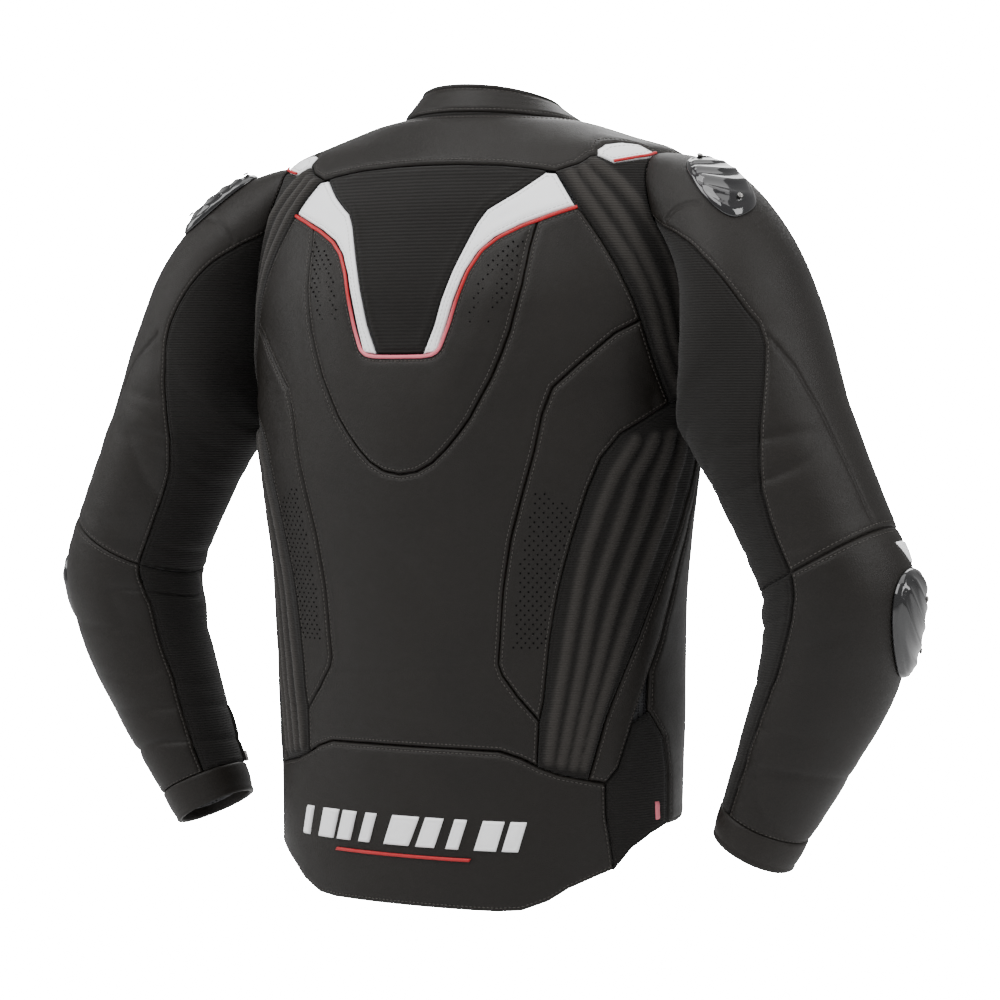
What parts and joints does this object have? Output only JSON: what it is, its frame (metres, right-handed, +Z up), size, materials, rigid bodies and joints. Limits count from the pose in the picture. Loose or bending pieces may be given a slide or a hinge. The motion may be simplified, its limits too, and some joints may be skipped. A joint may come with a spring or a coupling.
{
  "type": "leather riding jacket",
  "caption": "Black leather riding jacket with stretch panels, white back chevron, red piping, shoulder and elbow sliders, swinging sleeves and working zips.",
  "frame": {"origin": "middle of the hang loop inside the back of the collar, level with the back of the collar seam", "axes": "+X towards the wearer's left, -Y towards the front, +Z up"},
  "size_m": [0.8104, 0.2429, 0.6651],
  "materials": {
    "black_leather": "grained, semi-matt",
    "white_leather": "smooth",
    "red_piping": "smooth",
    "stretch_fabric": "ribbed stretch weave",
    "knit": "fine horizontal rib knit",
    "lining": "mesh",
    "protector": "foam",
    "gloss_plastic": "polished",
    "zip_tape": "woven tape with moulded teeth",
    "zip_metal": "dark plated"
  },
  "bodies": {
    "torso": {"collar": "black_leather", "hang_loop": "zip_tape", "back_yoke": "black_leather", "knit_insert": "knit", "white_back_panel_left": "white_leather", "white_back_panel_right": "white_leather", "red_piping": "red_piping", "hump_panel": "black_leather", "centre_back_panel": "black_leather", "perforated_back_panel_left": "black_leather", "perforated_back_panel_right": "black_leather", "shoulder_stretch_left": "stretch_fabric", "shoulder_stretch_right": "stretch_fabric", "flank_stretch_left": "stretch_fabric", "flank_stretch_right": "stretch_fabric", "flank_strip_left": "black_leather", "flank_strip_right": "black_leather", "kidney_panel": "black_leather", "waist_gusset_left": "stretch_fabric", "waist_gusset_right": "stretch_fabric", "white_shoulder_stripe_left": "white_leather", "white_shoulder_stripe_right": "white_leather", "front_chest_panel_left": "black_leather", "front_chest_panel_right": "black_leather", "front_lower_panel_left": "black_leather", "front_lower_panel_right": "black_leather", "main_zip_left": "zip_tape", "main_zip_right": "zip_tape", "back_protector": "protector", "lining_back": "lining", "lining_front_left": "lining", "lining_front_right": "lining"},
    "main_slider": {"main_zip_slider": "zip_metal"},
    "main_pull": {"main_zip_pull": "zip_metal"},
    "pocket_slider_left": {"pocket_zip_slider_left": "zip_metal"},
    "sleeve_left": {"shoulder_leather_left": "black_leather", "upper_sleeve_stretch_left": "stretch_fabric", "upper_sleeve_lining_left": "lining", "shoulder_protector_left": "protector", "shoulder_slider_left": "gloss_plastic"},
    "forearm_left": {"forearm_leather_left": "black_leather", "forearm_stretch_left": "stretch_fabric", "cuff_band_left": "black_leather", "forearm_lining_left": "lining", "elbow_protector_left": "protector", "elbow_slider_left": "gloss_plastic"},
    "cuff_slider_left": {"cuff_zip_slider_left": "zip_metal"},
    "pocket_slider_right": {"pocket_zip_slider_right": "zip_metal"},
    "sleeve_right": {"shoulder_leather_right": "black_leather", "upper_sleeve_stretch_right": "stretch_fabric", "upper_sleeve_lining_right": "lining", "shoulder_protector_right": "protector", "shoulder_slider_right": "gloss_plastic"},
    "forearm_right": {"forearm_leather_right": "black_leather", "forearm_stretch_right": "stretch_fabric", "cuff_band_right": "black_leather", "forearm_lining_right": "lining", "elbow_protector_right": "protector", "elbow_slider_right": "gloss_plastic"},
    "cuff_slider_right": {"cuff_zip_slider_right": "zip_metal"}
  },
  "joints": [
    {"name": "main_zip_slide", "type": "slide", "parent": "torso", "child": "main_slider", "axis": [0, -0.0519, -0.9987], "range_m": [0, 0.535]},
    {"name": "main_pull_flip", "type": "hinge", "parent": "main_slider", "child": "main_pull", "pos_m": [0, -0.1198, -0.0117], "axis": [-1, 0, 0], "range_deg": [0, 150]},
    {"name": "shoulder_left", "type": "hinge", "parent": "torso", "child": "sleeve_left", "pos_m": [0.178, -0.017, -0.042], "axis": [0, -1, 0], "range_deg": [0, 30]},
    {"name": "elbow_left", "type": "hinge", "parent": "sleeve_left", "child": "forearm_left", "pos_m": [0.3813, -0.0013, -0.3319], "axis": [0, -1, 0], "range_deg": [-4, 22], "stiffness_Nm_per_rad": 4, "springref_deg": -4.01},
    {"name": "pocket_zip_slide_left", "type": "slide", "parent": "torso", "child": "pocket_slider_left", "axis": [0.073, -0.0135, -0.9972], "range_m": [0, 0.118]},
    {"name": "cuff_zip_slide_left", "type": "slide", "parent": "forearm_left", "child": "cuff_slider_left", "axis": [0.3337, -0.0449, 0.9416], "range_m": [0, 0.034]},
    {"name": "shoulder_right", "type": "hinge", "parent": "torso", "child": "sleeve_right", "pos_m": [-0.178, -0.017, -0.042], "axis": [0, 1, 0], "range_deg": [0, 30]},
    {"name": "elbow_right", "type": "hinge", "parent": "sleeve_right", "child": "forearm_right", "pos_m": [-0.3813, -0.0013, -0.3319], "axis": [0, 1, 0], "range_deg": [-4, 22], "stiffness_Nm_per_rad": 4, "springref_deg": -4.01},
    {"name": "pocket_zip_slide_right", "type": "slide", "parent": "torso", "child": "pocket_slider_right", "axis": [-0.073, -0.0135, -0.9972], "range_m": [0, 0.118]},
    {"name": "cuff_zip_slide_right", "type": "slide", "parent": "forearm_right", "child": "cuff_slider_right", "axis": [-0.3337, -0.0449, 0.9416], "range_m": [0, 0.034]}
  ]
}
